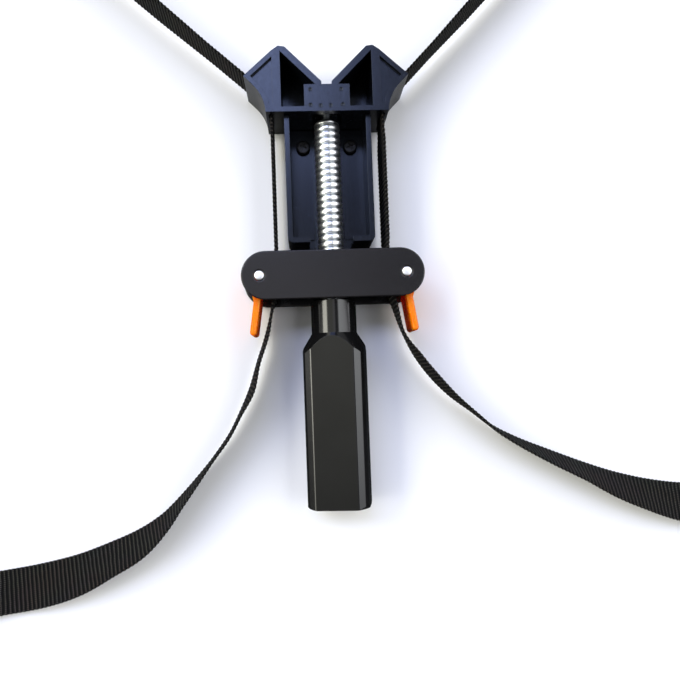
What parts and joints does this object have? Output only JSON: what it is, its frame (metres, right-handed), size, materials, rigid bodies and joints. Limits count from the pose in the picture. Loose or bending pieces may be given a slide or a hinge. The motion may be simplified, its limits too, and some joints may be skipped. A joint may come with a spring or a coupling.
{
  "type": "band clamp",
  "caption": "Screw-tensioned band clamp for square frames: corner head, slide channel, crossbar with cam levers, long handle, woven band and loose corner jaws.",
  "frame": {"origin": "back face of the corner head, behind its thrust block, on the spindle's plane", "axes": "+X to the right seen from the front, +Y from the handle towards the work along the spindle, +Z out of the front; the clamp lies on its back in the XY plane"},
  "size_m": [0.527, 0.5458, 0.0283],
  "materials": {
    "black_moulding": "fine matt moulding",
    "charcoal_plate": "semi-matt dark coating",
    "gloss_black": "gloss",
    "black_oxide": "black oxide",
    "zinc": "bright zinc plating",
    "bright_steel": "bright turned",
    "orange_moulding": "satin moulding",
    "black_webbing": "flat woven webbing"
  },
  "bodies": {
    "head": {"corner_head": "black_moulding", "slide_channel": "black_moulding", "channel_screw_left": "black_oxide", "channel_screw_right": "black_oxide", "band_loop": "black_webbing", "band_side_left": "black_webbing", "band_side_right": "black_webbing", "corner_jaw_left": "black_moulding", "corner_jaw_top": "black_moulding", "corner_jaw_right": "black_moulding"},
    "spindle": {"spindle": "zinc", "retaining_ring": "bright_steel", "handle": "gloss_black"},
    "crossbar": {"front_plate": "charcoal_plate", "back_plate": "charcoal_plate", "housing_block": "black_moulding", "spindle_nut": "bright_steel", "pivot_rivet_left": "bright_steel", "pivot_rivet_right": "bright_steel", "tail_left": "black_webbing", "tail_right": "black_webbing", "tail_roll_left": "black_webbing", "tail_roll_right": "black_webbing"},
    "lever_left": {"lever_left": "orange_moulding"},
    "lever_right": {"lever_right": "orange_moulding"}
  },
  "joints": [
    {"name": "spindle_turn", "type": "hinge", "parent": "head", "child": "spindle", "pos_m": [0, 0, 0.014], "axis": [0, -1, 0], "range_deg": [0, 5760]},
    {"name": "crossbar_slide", "type": "slide", "parent": "head", "child": "crossbar", "axis": [0, 1, 0], "range_m": [0, 0.048], "deforming": ["band_side_left", "band_side_right"]},
    {"name": "lever_left_turn", "type": "hinge", "parent": "crossbar", "child": "lever_left", "pos_m": [-0.03285, -0.07955, 0.014], "axis": [0, 0, -1], "range_deg": [0, 35], "stiffness_Nm_per_rad": 0.03, "springref_deg": -11.46},
    {"name": "lever_right_turn", "type": "hinge", "parent": "crossbar", "child": "lever_right", "pos_m": [0.03285, -0.07955, 0.014], "axis": [0, 0, 1], "range_deg": [0, 35], "stiffness_Nm_per_rad": 0.03, "springref_deg": -11.46}
  ],
  "couplings": [
    {"joint": "crossbar_slide", "follows": "spindle_turn", "m_per_rad": 0.00047746}
  ]
}
